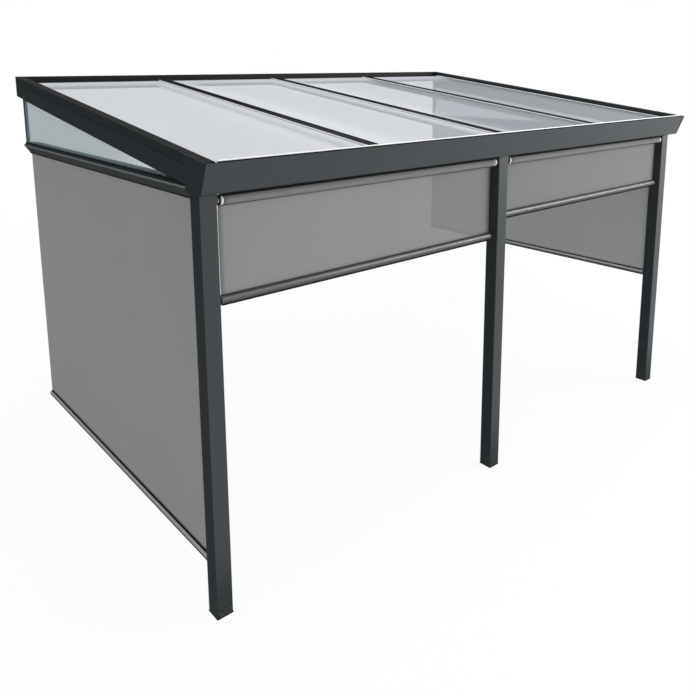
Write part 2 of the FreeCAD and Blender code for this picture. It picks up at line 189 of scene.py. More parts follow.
def drawn_lines_group():
    """Die lines along a drawn or anodised metal section, and its slow changes of shade."""
    b, given, result = new_group(
        "drawn_lines", "ShaderNodeTree",
        [("Place", "vector"), ("Stretch", "vector", (1.0, 1.0, 1.0)), ("Colour", "colour"),
         ("Matt", "value", 0.3)],
        [("Colour", "colour"), ("Roughness", "value"), ("Height", "value")])
    lines = b.noise(b.stretched(given["Place"], given["Stretch"]), 1.0, 3.0, 0.6)
    smudge = b.spread(b.noise(given["Place"], 17.0, 5.0, 0.65), 0.35, 0.75)
    shade = b.plus(b.times(lines, 0.22), b.times(smudge, -0.08))
    b.feed(result["Colour"], b.toned(given["Colour"], b.plus(shade, 0.92)))
    rough = b.plus(given["Matt"], b.times(lines, 0.12))
    b.feed(result["Roughness"], b.plus(rough, b.times(smudge, 0.10), clamp=True))
    b.feed(result["Height"], lines)
    return b.tree


hem_fade = 0.0015
seam_width = 0.0016


def screen_weave_group():
    """Screen cloth: coated threads over and under each other, pinholes between, flecks and a slow drift."""
    b, given, result = new_group(
        "screen_weave", "ShaderNodeTree",
        [("Thread", "vector"), ("Warp", "colour"), ("Weft", "colour"), ("Pitch", "value", 0.0012),
         ("Width", "value", 2.0), ("Hem", "value", 0.018)],
        [("Colour", "colour"), ("Roughness", "value"), ("Height", "value")])
    across, along, _ = b.parts(given["Thread"])
    turns = b.calc("DIVIDE", math.pi, given["Pitch"])
    warp_wave = b.calc("SINE", b.times(across, turns))
    weft_wave = b.calc("SINE", b.times(along, turns))
    over = b.calc("GREATER_THAN", b.times(warp_wave, weft_wave), 0.0)
    warp_round = b.calc("ABSOLUTE", warp_wave)
    weft_round = b.calc("ABSOLUTE", weft_wave)
    turn_over = b.minus(1.0, over)
    height = b.plus(b.times(over, warp_round), b.times(turn_over, weft_round))
    fleck = b.noise(b.stretched(given["Thread"], (900.0, 45.0, 1.0)), 1.0, 2.0)
    slub = b.noise(b.stretched(given["Thread"], (30.0, 700.0, 1.0)), 1.0, 2.0)
    drift = b.noise(b.stretched(given["Thread"], (2.2, 0.7, 1.0)), 1.0, 3.0)
    pin = b.times(b.spread(warp_round, 0.35, 0.0), b.spread(weft_round, 0.35, 0.0))
    edge = b.calc("MINIMUM", across, b.minus(given["Width"], across))
    weld = b.spread(edge, given["Hem"], b.minus(given["Hem"], hem_fade))
    seam = b.spread(edge, b.plus(given["Hem"], seam_width), given["Hem"])
    seam = b.times(seam, b.minus(1.0, weld))
    value = b.plus(0.80, b.times(fleck, 0.16))
    value = b.plus(value, b.times(slub, 0.12))
    value = b.plus(value, b.times(drift, 0.14))
    value = b.minus(value, b.times(pin, 0.35))
    value = b.plus(value, b.times(weld, 0.05))
    value = b.minus(value, b.times(seam, 0.12))
    yarn = b.blend(over, given["Weft"], given["Warp"])
    b.feed(result["Colour"], b.toned(yarn, value))
    b.feed(result["Roughness"], b.plus(0.72, b.times(fleck, 0.14)))
    b.feed(result["Height"], b.minus(height, b.times(seam, 1.2)))
    return b.tree


# Whole turns that keep a pitch's count above zero left of the origin
many_turns = 100.0


def cell_lines_group():
    """Webs of a multiwall sheet as thin lines at the cell pitch, and its film of dirt."""
    b, given, result = new_group(
        "cell_lines", "ShaderNodeTree",
        [("Place", "vector"), ("Across", "value"), ("Pitch", "value", cell_pitch),
         ("Line", "value", 0.0018)],
        [("Web", "value"), ("Marks", "value")])
    away = b.from_middle(given["Across"], given["Pitch"], many_turns)
    b.feed(result["Web"], b.spread(away, given["Line"], 0.0))
    film = b.spread(b.noise(given["Place"], 1.1, 3.0, 0.5), 0.30, 0.75)
    runs = b.noise(b.stretched(given["Place"], (7.0, 0.8, 3.0)), 1.0, 2.0)
    b.feed(result["Marks"], b.plus(b.times(film, 0.4), b.times(runs, 0.2)))
    return b.tree


# Where the cloudy margins begin and end: across the roof, and down from the wall
margin_first_x = (-1.75, -1.60)
margin_last_x = (0.85, -0.10)
margin_wall_y = (-0.50, -0.14)


def milky_margin_group():
    """Mask of the sheet's cloudy margins: along each inner rafter, and under the flashing at the wall."""
    b, given, result = new_group(
        "milky_margin", "ShaderNodeTree",
        [("Place", "vector"), ("Bay", "value", bay_width), ("Inner", "value", 0.06),
         ("Outer", "value", 0.38)],
        [("Margin", "value")])
    x, y, _ = b.parts(given["Place"])
    away = b.from_middle(x, given["Bay"], many_turns + 0.5)
    beside = b.times(b.spread(away, given["Outer"], given["Inner"]), b.spread(x, *margin_first_x))
    beside = b.times(beside, b.spread(x, *margin_last_x))
    wall = b.spread(y, *margin_wall_y)
    b.feed(result["Margin"], b.calc("MAXIMUM", beside, wall))
    return b.tree


# Where the painted highlight along a cap's middle comes in, down from the wall
crown_highlight_y = (-1.2, -2.4)


def cap_marks_group():
    """Masks of a glazing cap: what faces up, for painted shade, and the line along its middle, for a painted
    highlight.
    """
    b, given, result = new_group(
        "cap_marks", "ShaderNodeTree",
        [("Place", "vector"), ("Bay", "value", bay_width), ("Half line", "value", 0.011)],
        [("Upper", "value"), ("Crown", "value")])
    facing = b.parts(b.node("ShaderNodeNewGeometry").outputs["Normal"])[2]
    upper = b.spread(facing, 0.50, 0.80)
    x, y, _ = b.parts(given["Place"])
    away = b.from_middle(x, given["Bay"], many_turns + 0.5)
    line = b.spread(away, b.plus(given["Half line"], 0.002), given["Half line"])
    line = b.times(line, b.spread(y, *crown_highlight_y))
    b.feed(result["Upper"], upper)
    b.feed(result["Crown"], b.times(line, upper))
    return b.tree


def end_cap_group():
    """Mask of the two moulded caps at the ends of a tube."""
    b, given, result = new_group(
        "end_cap", "ShaderNodeTree",
        [("Along", "value"), ("First", "value"), ("Last", "value"), ("Length", "value", 0.01)],
        [("Cap", "value")])
    near = b.calc("MINIMUM", b.minus(given["Along"], given["First"]),
                  b.minus(given["Last"], given["Along"]))
    b.feed(result["Cap"], b.calc("LESS_THAN", near, given["Length"]))
    return b.tree


powder_skin = powder_skin_group()
drawn_lines = drawn_lines_group()
screen_weave = screen_weave_group()
cell_lines = cell_lines_group()
milky_margin = milky_margin_group()
cap_marks = cap_marks_group()
end_cap = end_cap_group()


def new_finish(name, **constants):
    """A material with its shader and the place on the object, as (material, board, shader, place)."""
    material = bpy.data.materials.new(name)
    material.use_nodes = True
    board = Board(material.node_tree)
    shader = material.node_tree.nodes["Principled BSDF"]
    for label, value in constants.items():
        shader.inputs[label.replace("_", " ")].default_value = value
    return material, board, shader, board.node("ShaderNodeTexCoord").outputs["Object"]


def place_group(board, tree, inputs):
    made = board.node("ShaderNodeGroup", node_tree=tree)
    for label, value in inputs.items():
        board.feed(made.inputs[label], value)
    return made.outputs


def surface(board, shader, colour, roughness, height, strength, distance):
    """The colour of a finish, how rough it is and its fine relief."""
    relief = board.node("ShaderNodeBump", {"Height": height, "Strength": strength, "Distance": distance})
    board.feed(shader.inputs["Base Color"], colour)
    board.feed(shader.inputs["Roughness"], roughness)
    board.feed(shader.inputs["Normal"], relief.outputs[0])


dust_grey = (0.20, 0.20, 0.19, 1)
film_grey = (0.62, 0.62, 0.60, 1)


def powder_coat(name, colour, matt=0.38, dust=0.10, shine=0.50, upper=None, crown=None):
    """Powder coat; upper is the painted shade of what faces up, crown the painted highlight along a cap's
    middle.
    """
    material, b, shader, place = new_finish(name, IOR=1.5, Specular_IOR_Level=shine)
    tone = (*colour, 1)
    for mask, shade in (("Upper", upper), ("Crown", crown)):
        if shade is not None:
            marks = place_group(b, cap_marks, {"Place": place})
            tone = b.blend(marks[mask], tone, (*shade, 1))
    skin = place_group(b, powder_skin, {"Place": place, "Colour": tone, "Dust colour": dust_grey,
                                        "Dust": dust, "Matt": matt, "Ground": ground})
    surface(b, shader, skin["Colour"], skin["Roughness"], skin["Height"], 0.10, 0.0006)
    return material


def drawn_metal(name, colour, stretch, matt=0.28):
    material, b, shader, place = new_finish(name, Metallic=1.0)
    lines = place_group(b, drawn_lines, {"Place": place, "Stretch": stretch, "Colour": (*colour, 1),
                                         "Matt": matt})
    surface(b, shader, lines["Colour"], lines["Roughness"], lines["Height"], 0.08, 0.0004)
    return material


def dress(node, material):
    """Give every slot of a carried-over node its finish."""
    shape = nodes[node]
    if not shape.material_slots:
        shape.data.materials.append(material)
    for slot in shape.material_slots:
        slot.material = material


along_x_lines = (1.5, 900.0, 900.0)
along_y_lines = (900.0, 1.5, 900.0)


def dress_tube(node, axis, tube_colour, cap_colour, cap_length, metal):
    """Finish of a drawn tube along an axis (0 is X, 1 is Y) whose two ends are moulded caps."""
    low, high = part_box(node)
    material, b, shader, place = new_finish(f"{node}_finish")
    lines = place_group(b, drawn_lines, {"Place": place, "Stretch": (along_x_lines, along_y_lines)[axis],
                                         "Colour": (*tube_colour, 1), "Matt": 0.40})
    cap = place_group(b, end_cap, {"Along": b.parts(place)[axis], "First": low[axis], "Last": high[axis],
                                   "Length": cap_length})["Cap"]
    grain = b.noise(place, 900.0, 2.0)
    moulded = b.toned((*cap_colour, 1), b.plus(0.94, b.times(grain, 0.12)))
    colour = b.blend(cap, lines["Colour"], moulded)
    rough = b.plus(lines["Roughness"], b.times(cap, 0.22))
    b.feed(shader.inputs["Metallic"], b.times(b.minus(1.0, cap), metal))
    surface(b, shader, colour, rough, b.blend(cap, lines["Height"], grain), 0.08, 0.0004)
    dress(node, material)


def moulded_plastic(name, colour, matt, shine=0.5):
    """Moulded plastic or rubber: a fine grain, and patches that are rubbed smoother."""
    material, b, shader, place = new_finish(name, Specular_IOR_Level=shine)
    grain = b.noise(place, 1100.0, 2.0)
    rub = b.spread(b.noise(place, 60.0, 4.0, 0.7), 0.45, 0.8)
    tone = b.plus(0.90, b.plus(b.times(grain, 0.12), b.times(rub, 0.10)))
    rough = b.minus(matt + 0.05, b.times(rub, 0.12))
    surface(b, shader, b.toned((*colour, 1), tone), rough, grain, 0.12, 0.0004)
    return material


def clear_sheet(name, across_axis, colour, cover, web_cover, web_line, tip=None, milk=None):
    """Smoke-tinted multiwall sheet: see-through skin, its webs as faint lines, a thin film of weathering.

    The colour and how far it covers are the skin's. A tip (axis, start, end, share) makes the sheet clearer
    and its webs plainer towards one end, and milk is the shade of the cloudy margins.
    """
    material, b, shader, place = new_finish(name, IOR=1.45, Specular_IOR_Level=0.30)
    parts = b.parts(place)
    cells = place_group(b, cell_lines, {"Place": place, "Across": parts[across_axis], "Line": web_line})
    web_colour = tuple(0.88 * part for part in colour)
    tint = b.blend(cells["Web"], (*colour, 1), (*web_colour, 1))
    tint = b.blend(b.times(cells["Marks"], 0.20), tint, film_grey)
    rough = b.plus(0.29, b.times(cells["Marks"], 0.20))
    slant = b.node("ShaderNodeLayerWeight", {"Blend": 0.30}).outputs["Facing"]
    web = b.times(cells["Web"], web_cover)
    if tip is not None:
        axis, start, end, share = tip
        web = b.times(web, b.spread(parts[axis], start, end, 0.10, 1.0))
        cover = b.spread(parts[axis], start, end, cover, cover * share)
    alpha = b.plus(cover, web)
    alpha = b.plus(alpha, b.times(b.calc("POWER", slant, 4.0), 0.12), clamp=True)
    if milk is not None:
        margin = place_group(b, milky_margin, {"Place": place})["Margin"]
        tint = b.blend(margin, tint, (*milk, 1))
        alpha = b.calc("MAXIMUM", alpha, b.times(margin, 0.84))
    b.feed(shader.inputs["Alpha"], alpha)
    surface(b, shader, tint, rough, b.noise(place, 90.0, 1.0), 0.03, 0.0002)
    return material


def blind_cloth(name, warp, weft, width):
    """Screen cloth seen on its own map, which gives metres across and along the cloth."""
    material, b, shader, _ = new_finish(name, Specular_IOR_Level=0.25, Sheen_Weight=0.12, Alpha=0.74)
    thread = b.node("ShaderNodeUVMap", uv_map="Thread").outputs[0]
    cloth = place_group(b, screen_weave, {"Thread": thread, "Warp": (*warp, 1), "Weft": (*weft, 1),
                                          "Width": width})
    surface(b, shader, cloth["Colour"], cloth["Roughness"], cloth["Height"], 0.35, 0.0003)
    return material


# Finishes
cap_white = (0.78, 0.78, 0.77)
cap_grey = (0.12, 0.12, 0.12)
cap_black = (0.012, 0.012, 0.013)
anthracite = (0.0160, 0.0235, 0.0270)
frame_coat = powder_coat("anthracite_powder_coat", anthracite)
deep_shade = (0.0050, 0.0060, 0.0065)
# The inner caps carry a painted highlight along their middle, towards the front.
cap_coat = powder_coat("black_cap_coat", deep_shade, matt=0.55, dust=0.03, shine=0.12,
                       crown=(0.045, 0.050, 0.052))
# The side caps' tops are painted in deep shade.
side_cap_coat = powder_coat("side_cap_coat", anthracite, matt=0.42, dust=0.05, shine=0.30, upper=deep_shade)
wall_coat = powder_coat("wall_profile_coat", deep_shade, matt=0.55, dust=0.03, shine=0.12)
# Black rubber for the seals, and for the strips that paint shade.
seal_and_shade_rubber = moulded_plastic("black_seal_rubber", (0.006, 0.006, 0.007), 0.72, shine=0.10)
white_nylon = moulded_plastic("white_nylon", cap_white, 0.42)
# Black nylon for the roller flanges, and for the clamp strips that paint the shade line under the front
# rollers.
black_nylon = moulded_plastic("black_nylon", cap_black, 0.48)
bracket_coat = powder_coat("black_bracket_coat", (0.014, 0.014, 0.015), matt=0.45, dust=0.1)
# A lighter strip on the side rails that paints the highlight of a rounded face.
rail_highlight_coat = powder_coat("brow_strip_coat", (0.17, 0.18, 0.185), matt=0.30, dust=0.05)
# White beads and trim that paint the highlights along the glazing's edges.
clear_bead = moulded_plastic("clear_bead", (0.90, 0.91, 0.92), 0.35)
strip_metal = drawn_metal("end_strip_aluminium", (0.42, 0.43, 0.44), (1.0, 700.0, 700.0), 0.34)
foot_metal = drawn_metal("zinc_coated_foot", (0.46, 0.47, 0.48), (60.0, 60.0, 60.0), 0.42)
screw_steel = drawn_metal("stainless_screws", (0.52, 0.52, 0.51), (420.0, 420.0, 420.0), 0.26)
roof_clear = clear_sheet("smoke_roof_sheet", across_axis=0, colour=(0.495, 0.52, 0.565), cover=0.42,
                         web_cover=0.03, web_line=0.0018, milk=(0.66, 0.68, 0.725))
wedge_clear = clear_sheet("smoke_wedge_sheet", across_axis=1, colour=(0.30, 0.43, 0.48), cover=0.46,
                          web_cover=0.34, web_line=0.0050, tip=(1, -1.45, -2.35, 0.45))
tube_grey = (0.105, 0.105, 0.103)
# The side bars are the same drawn tube as the front bars, painted a lighter grey as a highlight.
side_bar_highlight_grey = (0.52, 0.53, 0.53)
roller_cap_length = 0.010
bar_cap_length = 0.005

for name in ("gutter", *rafter_names, *post_names):
    dress(name, frame_coat)
for name in cap_names:
    dress(name, cap_coat)
dress("wall_profile", wall_coat)
dress("panel_end_strips", strip_metal)
for name in post_names:
    dress(name.replace("post", "post_foot"), foot_metal)
for hand in hands:
    for name in ("side_rafter", "gutter_end", "side_rail", "wedge_frame"):
        dress(f"{name}_{hand}", frame_coat)
    dress(f"side_cap_{hand}", side_cap_coat)
    dress(f"wedge_panel_{hand}", wedge_clear)
    dress(f"roller_brackets_{hand}", bracket_coat)
    dress(f"side_roller_{hand}", drawn_metal(f"side_roller_{hand}_finish", tube_grey, along_y_lines))
    dress_tube(f"front_roller_{hand}", 0, tube_grey, cap_white, roller_cap_length, 0.8)
    dress_tube(f"front_bar_{hand}", 0, tube_grey, cap_grey, bar_cap_length, 0.85)
    dress_tube(f"side_bar_{hand}", 1, side_bar_highlight_grey, cap_black, bar_cap_length, 0.35)


def place_object(name, data):
    shape = bpy.data.objects.new(name, data)
    bpy.context.scene.collection.objects.link(shape)
    return shape


def soften(shape, degrees):
    """Smooth shading that leaves edges sharp from this angle on."""
    shape.data.shade_smooth()
    shape.data.set_sharp_from_angle(angle=math.radians(degrees))


def new_piece(name, points, faces, material):
    mesh = bpy.data.meshes.new(name)
    mesh.from_pydata(points, [], faces)
    mesh.materials.append(material)
    return place_object(name, mesh)


def settle(shape, name, replaced=()):
    """Turn a shape with modifiers into a plain mesh at the origin that rides on the frame."""
    bpy.context.view_layer.update()
    graph = bpy.context.evaluated_depsgraph_get()
    mesh = bpy.data.meshes.new_from_object(shape.evaluated_get(graph))
    mesh.transform(shape.matrix_world)
    mesh.name = name
    made = place_object(name, mesh)
    bpy.data.objects.remove(shape)
    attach(made, "root")
    if replaced:
        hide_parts(*replaced)
    return made


def grow(shape, tree, inputs):
    """A geometry tree on a shape, with its named inputs."""
    modifier = shape.modifiers.new("grow", "NODES")
    modifier.node_group = tree
    names = {item.name: item.identifier for item in tree.interface.items_tree if item.in_out == "INPUT"}
    for label, value in inputs.items():
        modifier[names[label]] = value
    return shape


def finished_tree(b, given, result, shape):
    """End of every tree: its shape as a real mesh in the given finish."""
    real = b.node("GeometryNodeRealizeInstances", {0: shape.outputs[0]})
    last = b.node("GeometryNodeSetMaterial", {"Geometry": real.outputs[0], "Material": given["Finish"]})
    b.feed(result["Geometry"], last.outputs[0])
    return b.tree


def cell_sheet_tree():
    """Multiwall sheet: a slab whose skins are slightly crowned over each cell, laid down the slope."""
    b, given, result = new_group(
        "cell_sheet", "GeometryNodeTree",
        [("Geometry", "geometry"), ("Width", "value", 1.0), ("Length", "value", 2.0),
         ("Thickness", "value", sheet_thickness),
         ("Pitch", "value", cell_pitch), ("Steps", "count", 160), ("Crown", "value", 0.0003),
         ("Slope", "value", 0.1), ("Middle", "value", 0.0), ("Back", "value", 0.0), ("Top", "value", 0.0),
         ("Finish", "finish")],
        [("Geometry", "geometry")])
    grid = b.node("GeometryNodeMeshGrid", {"Size X": given["Width"], "Size Y": given["Length"],
                                           "Vertices X": given["Steps"], "Vertices Y": 9})
    place = b.parts(b.node("GeometryNodeInputPosition").outputs[0])
    across = b.calc("DIVIDE", b.plus(place[0], given["Middle"]), given["Pitch"])
    arch = b.calc("ABSOLUTE", b.calc("COSINE", b.times(across, math.pi)))
    crown = b.times(arch, given["Crown"])
    down = b.minus(place[1], b.calc("DIVIDE", given["Length"], 2.0))
    level = b.plus(given["Top"], b.times(b.plus(down, given["Back"]), given["Slope"]))
    sunk = b.times(given["Thickness"], -1.0)
    skins = []
    for lift, turn in ((0.0, 1.0), (sunk, -1.0)):
        height = b.plus(b.plus(level, lift), b.times(crown, turn))
        spot = b.node("ShaderNodeCombineXYZ", {0: b.plus(place[0], given["Middle"]),
                                               1: b.plus(down, given["Back"]), 2: height})
        skin = b.node("GeometryNodeSetPosition", {"Geometry": grid.outputs[0], "Position": spot.outputs[0]})
        skins.append(skin.outputs[0])
    under = b.node("GeometryNodeFlipFaces", {"Mesh": skins[1]}).outputs[0]
    walls = b.node("GeometryNodeExtrudeMesh", {"Mesh": skins[0]}, mode="EDGES")
    rim = b.node("GeometryNodeInputMeshEdgeNeighbors").outputs[0]
    lone = b.node("FunctionNodeCompare", {"A": rim, "B": 1}, data_type="INT", operation="EQUAL").outputs[0]
    b.feed(walls.inputs["Selection"], lone)
    b.feed(walls.inputs["Offset"], b.node("ShaderNodeCombineXYZ", {2: sunk}).outputs[0])
    b.feed(walls.inputs["Offset Scale"], 1.0)
    joined = b.node("GeometryNodeJoinGeometry")
    for part in (under, walls.outputs[0]):
        b.tree.links.new(part, joined.inputs[0])
    closed = b.node("GeometryNodeMergeByDistance", {"Geometry": joined.outputs[0], "Distance": 0.0009})
    return finished_tree(b, given, result, closed)


def strip_tree():
    """Soft strip of a rounded section swept along every edge of a wire."""
    b, given, result = new_group(
        "swept_strip", "GeometryNodeTree",
        [("Geometry", "geometry"), ("Width", "value", 0.004), ("Height", "value", 0.003),
         ("Finish", "finish")],
        [("Geometry", "geometry")])
    path = b.node("GeometryNodeMeshToCurve", {0: given["Geometry"]}).outputs[0]
    section = b.node("GeometryNodeCurvePrimitiveQuadrilateral",
                     {"Width": given["Width"], "Height": given["Height"]})
    soft = b.node("GeometryNodeFilletCurve",
                  {"Curve": section.outputs[0], "Radius": b.times(given["Height"], 0.3)}, mode="POLY")
    soft.inputs["Count"].default_value = 3
    swept = b.node("GeometryNodeCurveToMesh",
                   {"Curve": path, "Profile Curve": soft.outputs[0], "Fill Caps": True})
    return finished_tree(b, given, result, swept)


def fastener_tree():
    """One head on each point, turned to the direction stored with the point."""
    b, given, result = new_group(
        "fasteners", "GeometryNodeTree",
        [("Geometry", "geometry"), ("Head", "object"), ("Seed", "count", 3), ("Finish", "finish")],
        [("Geometry", "geometry")])
    aim = b.node("GeometryNodeInputNamedAttribute", {"Name": "aim"}, data_type="FLOAT_VECTOR").outputs[0]
    turned = b.node("FunctionNodeAlignRotationToVector", {"Vector": aim}, axis="Z").outputs[0]
    any_turn = b.node("FunctionNodeRandomValue", {"Seed": given["Seed"]}, data_type="FLOAT")
    any_turn.inputs[3].default_value = math.pi
    spin = b.node("ShaderNodeCombineXYZ", {2: any_turn.outputs[1]})
    local = b.node("FunctionNodeEulerToRotation", {0: spin.outputs[0]})
    both = b.node("FunctionNodeRotateRotation", {0: turned, 1: local.outputs[0]}, rotation_space="LOCAL")
    head = b.node("GeometryNodeObjectInfo", {"Object": given["Head"]}).outputs["Geometry"]
    put = b.node("GeometryNodeInstanceOnPoints", {"Points": given["Geometry"], "Instance": head,
                                                  "Rotation": both.outputs[0]})
    return finished_tree(b, given, result, put)


cell_sheet = cell_sheet_tree()
swept_strip = strip_tree()
fasteners = fastener_tree()


# Roof sheets
sheet_inset = 0.0004
cell_crown = 0.0001
cell_steps = 6


def roof_sheet(index):
    """Roof sheet in the place of its node, its skins just inside the node's."""
    node = f"roof_panel_{index}"
    low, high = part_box(node)
    width = high.x - low.x
    cells = round(width / cell_pitch)
    start = new_piece(f"sheet_start_{index}", [(0, 0, 0)], [], roof_clear)
    grow(start, cell_sheet, {
        "Width": width, "Length": high.y - low.y, "Thickness": sheet_thickness - 2 * sheet_inset,
        "Pitch": cell_pitch, "Steps": cells * cell_steps + 1, "Crown": cell_crown, "Slope": roof_slope,
        "Middle": (low.x + high.x) / 2, "Back": high.y, "Top": roof_top_at_wall - sheet_drop - sheet_inset,
        "Finish": roof_clear})
    soften(settle(start, f"roof_sheet_{index}", [node]), 35)


sheet_numbers = (1, 2, 3, 4)
for index in sheet_numbers:
    roof_sheet(index)


def strips(name, paths, size, material):
    """Strips along straight or bent paths, in one piece; size is their section's width and height."""
    points, edges = [], []
    for path in paths:
        first = len(points)
        points += path
        edges += [(first + k, first + k + 1) for k in range(len(path) - 1)]
    mesh = bpy.data.meshes.new(f"{name}_wire")
    mesh.from_pydata(points, edges, [])
    inputs = {"Width": size[0], "Height": size[1], "Finish": material}
    wire = place_object(mesh.name, mesh)
    soften(settle(grow(wire, swept_strip, inputs), name), 40)


def along_x(low_x, high_x, y, z):
    return [(low_x, y, z), (high_x, y, z)]


def along_y(x, low_y, high_y, z):
    return [(x, low_y, z), (x, high_y, z)]


# Seals of the roof
sheet_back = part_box("rafter_cap_left")[1].y
sheet_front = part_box("roof_panel_1")[0].y
seal_size = (0.0100, 0.0100)
bead_size = (0.0060, 0.0066)


def roof_line(x):
    """Path down the roof at x, in the middle of a seal that lies on the sheets."""
    depth = sheet_drop - seal_size[1] / 2
    return [(x, y, roof_top(y) - depth) for y in (sheet_back, sheet_front)]


def roof_seals():
    """Black seals beside every cap, each with a white bead on the side away from the cap as a painted
    highlight.
    """
    places = []
    for name in cap_names:
        low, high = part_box(name)
        places.append((low.x - seal_size[0] / 2, -1))
        places.append((high.x + seal_size[0] / 2, 1))
    edge = half_roof - cap_width - seal_size[0] / 2
    places += [(-edge, 1), (edge, -1)]
    bead_shift = (seal_size[0] + bead_size[0]) / 2
    bead_lines = [roof_line(x + side * bead_shift) for x, side in places]
    strips("glazing_seals", [roof_line(x) for x, _ in places], seal_size, seal_and_shade_rubber)
    strips("clear_sealing_beads", bead_lines, bead_size, clear_bead)


roof_seals()
gutter_low, gutter_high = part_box("gutter")
lip_reach = half_roof - cap_width


def lip_line(inward, above):
    """Path along the gutter's lip, this far behind its front and above its top."""
    return along_x(-lip_reach, lip_reach, gutter_low.y + inward, gutter_high.z + above)


# White trim along the gutter's lip, as a painted highlight.
strips("gutter_edge_trim", [lip_line(inward=0.0115, above=0.0060)], (0.0060, 0.0110), clear_bead)
strips("gutter_lip_seal", [lip_line(inward=0.0040, above=0.0028)], (0.0076, 0.0062), seal_and_shade_rubber)
flashing_seal_side = 0.0030
flashing_seal_inset = 0.03


def flashing_seal():
    """Seal on every sheet, against the front edge of the wall profile's flashing."""
    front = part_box("wall_profile")[0].y
    y = front - flashing_seal_side / 2
    z = roof_top(front) - sheet_drop + flashing_seal_side / 2
    paths = []
    for index in sheet_numbers:
        low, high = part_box(f"roof_panel_{index}")
        paths.append(along_x(low.x + flashing_seal_inset, high.x - flashing_seal_inset, y, z))
    strips("flashing_seal", paths, (flashing_seal_side, flashing_seal_side), seal_and_shade_rubber)


flashing_seal()

# Screen cloths
cloth_extra = 0.009
cloth_thickness = 0.0006
cloth_columns = 64
cloth_row_height = 0.03
fewest_rows = 24
wrap_turn = math.radians(330)
wrap_rows = 30
wrap_sink = 0.0005
taper_height = 0.06
wave_height = 0.0017
curl_height = 0.0008
curl_reach = 0.03
warp_blue = 0.987
weft_share = 0.875


def cloth_rows(reach, drop):
    """Rows of a cloth from its roller down, as (run along the cloth, outward, height, share of the drop)."""
    rows = []
    run = 0.0
    for k in range(wrap_rows):
        angle = wrap_turn * (1 - k / wrap_rows)
        radius = reach - wrap_sink * angle / wrap_turn
        rows.append((run, radius * math.cos(angle), radius * math.sin(angle), 0.0))
        run += radius * wrap_turn / wrap_rows
    steps = max(fewest_rows, int(drop / cloth_row_height))
    for k in range(steps + 1):
        share = k / steps
        rows.append((run + drop * share, reach, -drop * share, share))
    return rows


def cloth_wave(across, run, seed):
    """Slow waves of a hanging cloth, with quicker and lower ones on top of them."""
    slow = noise.noise(Vector((across * 2.3 + seed, run * 0.9, seed)))
    quick = noise.noise(Vector((across * 6.0, run * 1.6 + seed, 2.0 * seed)))
    return slow + 0.4 * quick


def blind(place, hand, across, out, tone, seed):
    """Screen cloth wound once on its roller, hanging from the tangent into the slot of its bottom bar."""
    node, roller, bar = (f"{place}_{part}_{hand}" for part in ("fabric", "roller", "bar"))
    low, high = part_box(node)
    roller_low, roller_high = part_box(roller)
    middle = (roller_low + roller_high) / 2
    plane = (low + high) / 2
    start = low.dot(across) - cloth_extra
    width = high.dot(across) + cloth_extra - start
    drop = middle.z - low.z
    rows = cloth_rows((plane - middle).dot(out), drop)
    points, faces, threads = [], [], []
    for run, outward, height, share in rows:
        inset = cloth_extra * (1.0 - min(1.0, share * drop / taper_height)) ** 2
        hang = math.sin(math.pi * share) ** 0.7 if 0 < share < 1 else 0.0
        for c in range(cloth_columns + 1):
            u = inset + (width - 2 * inset) * c / cloth_columns
            curl = curl_height * math.exp(-min(u, width - u) / curl_reach)
            offset = outward + hang * (wave_height * cloth_wave(u, run, seed) + curl)
            spot = across * (start + u) + out * (middle.dot(out) + offset)
            points.append((spot.x, spot.y, middle.z + height))
            threads.append((u, run))
    for r in range(len(rows) - 1):
        for c in range(cloth_columns):
            a = r * (cloth_columns + 1) + c
            below = a + cloth_columns + 1
            faces.append((a, below, below + 1, a + 1))
    warp = (tone, tone, tone * warp_blue)
    weft = tuple(weft_share * part for part in warp)
    material = blind_cloth(f"{place}_{hand}_screen_cloth", warp, weft, width)
    name = f"{place}_blind_cloth_{hand}"
    shape = new_piece(f"{name}_flat", points, faces, material)
    shape.data.shade_smooth()
    layer = shape.data.uv_layers.new(name="Thread")
    for loop in shape.data.loops:
        layer.data[loop.index].uv = threads[loop.vertex_index]
    if shape.data.polygons[-1].normal.dot(out) < 0:
        shape.data.flip_normals()
    thick = shape.modifiers.new("thickness", "SOLIDIFY")
    thick.thickness = cloth_thickness
    thick.offset = 0.0
    made = settle(shape, name, [node])


X, Y = Vector((1, 0, 0)), Vector((0, 1, 0))
# All four are one screen cloth; the side cloths get lighter tones, the right one most, as painted light for
# the weaker light on them.
blind("front", "left", across=X, out=Y, tone=0.243, seed=1.0)
blind("front", "right", across=X, out=Y, tone=0.245, seed=2.0)
blind("side", "left", across=Y, out=-X, tone=0.266, seed=3.0)
blind("side", "right", across=Y, out=X, tone=0.333, seed=4.0)


def turned_shape(name, profile, sides, material):
    """Closed shape turned round Z from (radius, height) points."""
    points, faces = [(0.0, 0.0, profile[0][1])], []
    rings = []
    for radius, height in profile:
        ring = []
        for k in range(sides):
            angle = 2 * math.pi * (k + 0.5) / sides
            ring.append(len(points))
            points.append((radius * math.cos(angle), radius * math.sin(angle), height))
        rings.append(ring)
    for k in range(sides):
        faces.append((0, rings[0][(k + 1) % sides], rings[0][k]))
    for below, above in zip(rings, rings[1:]):
        for k in range(sides):
            faces.append((below[k], below[(k + 1) % sides], above[(k + 1) % sides], above[k]))
    top = len(points)
    points.append((0.0, 0.0, profile[-1][1]))
    for k in range(sides):
        faces.append((rings[-1][k], rings[-1][(k + 1) % sides], top))
    return new_piece(name, points, faces, material)


